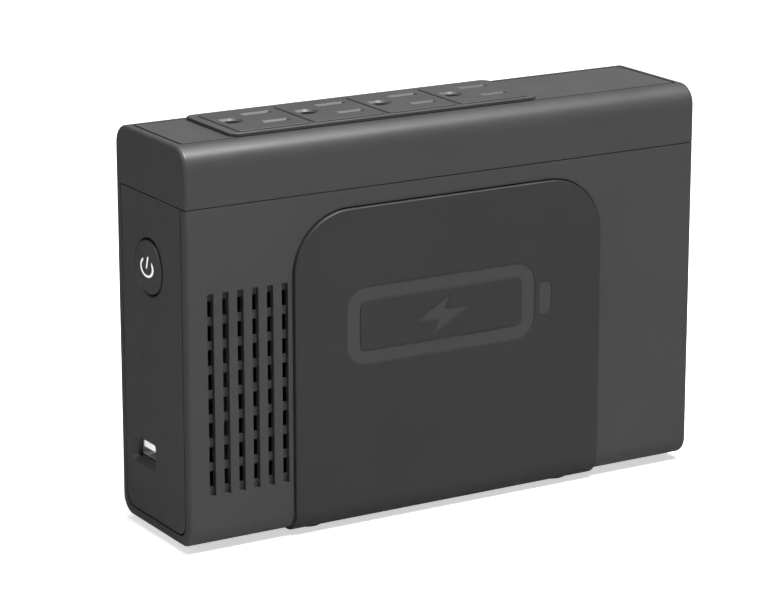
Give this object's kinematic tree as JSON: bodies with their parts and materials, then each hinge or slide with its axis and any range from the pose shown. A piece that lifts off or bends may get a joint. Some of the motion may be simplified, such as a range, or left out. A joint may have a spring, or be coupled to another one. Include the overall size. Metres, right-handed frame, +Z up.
{
  "type": "uninterruptible power supply",
  "caption": "Slim upright backup power box with mains outlets on top, a push button and a charging port on one end, side vents and a wrap-around cover.",
  "frame": {"origin": "middle of the case, on the surface that the rubber feet stand on", "axes": "+X along the length, away from the power button; +Y through the depth, away from the emblem side; +Z up"},
  "size_m": [0.1868, 0.0482, 0.1286],
  "materials": {
    "case_plastic": "fine satin texture",
    "saddle_plastic": "fine satin texture, darker",
    "emblem_plastic": "satin",
    "top_plastic": "fine satin texture",
    "outlet_plastic": "smooth satin",
    "button_plastic": "smooth satin",
    "symbol_white": "translucent white",
    "dark_plastic": "moulded",
    "white_plastic": "moulded",
    "foot_rubber": "matte",
    "screw_steel": "zinc plated",
    "sheet_steel": "galvanised",
    "usb_metal": "bright plated",
    "contact_brass": "plain",
    "pin_metal": "nickel plated",
    "board_green": "dark solder mask",
    "cell_wrap": "shrink film",
    "heatsink_aluminium": "black anodised",
    "component_black": "moulded epoxy",
    "ferrite": "sintered",
    "coil_tape": "polyester tape",
    "capacitor_sleeve": "printed sleeve",
    "relay_blue": "moulded",
    "fuse_glass": "clear",
    "terminal_green": "moulded",
    "lead_insulation": "insulated",
    "lead_black": "insulated"
  },
  "bodies": {
    "housing": {"main_shell": "case_plastic", "top_cap": "case_plastic", "left_end_panel": "case_plastic", "right_end_panel": "case_plastic", "saddle_cover": "saddle_plastic", "front_emblem": "emblem_plastic", "rubber_feet": "foot_rubber", "case_screws": "screw_steel", "top_panel": "top_plastic", "outlet_deck": "top_plastic", "outlet_insert_1": "outlet_plastic", "outlet_insert_2": "outlet_plastic", "outlet_insert_3": "outlet_plastic", "outlet_insert_4": "outlet_plastic", "line_bus": "contact_brass", "neutral_bus": "contact_brass", "ground_bus": "contact_brass", "socket_tray": "dark_plastic", "button_guide": "dark_plastic", "power_switch": "component_black", "io_board": "board_green", "usb_shell": "usb_metal", "usb_tongue": "white_plastic", "usb_contacts": "contact_brass", "buzzer": "component_black", "ac_inlet": "dark_plastic", "inlet_pins": "pin_metal", "inlet_tabs": "pin_metal", "breaker_body": "dark_plastic", "chassis_plate": "sheet_steel", "battery_cells": "cell_wrap", "lower_cell_holder": "dark_plastic", "upper_cell_holder": "dark_plastic", "upper_nickel_strips": "pin_metal", "lower_nickel_strips": "pin_metal", "battery_board": "board_green", "main_board": "board_green", "board_standoffs": "contact_brass", "board_screws": "screw_steel", "heatsink": "heatsink_aluminium", "power_transistors": "component_black", "transformer_core": "ferrite", "transformer_coil": "coil_tape", "transformer_feet": "component_black", "bulk_capacitors": "capacitor_sleeve", "transfer_relays": "relay_blue", "mains_fuse": "fuse_glass", "fuse_clips": "contact_brass", "board_terminals": "terminal_green", "outlet_leads": "lead_black", "inlet_leads": "lead_black", "battery_leads": "lead_insulation"},
    "button": {"power_button": "button_plastic", "power_symbol": "symbol_white", "switch_plunger": "white_plastic"},
    "reset": {"breaker_button": "button_plastic"}
  },
  "joints": [
    {"name": "power_button_press", "type": "slide", "parent": "housing", "child": "button", "axis": [1, 0, 0], "range_m": [0, 0.0015], "stiffness_N_per_m": 900, "springref_m": -0.0005},
    {"name": "breaker_reset_press", "type": "slide", "parent": "housing", "child": "reset", "axis": [-1, 0, 0], "range_m": [0, 0.0012], "stiffness_N_per_m": 900, "springref_m": -0.0005}
  ]
}
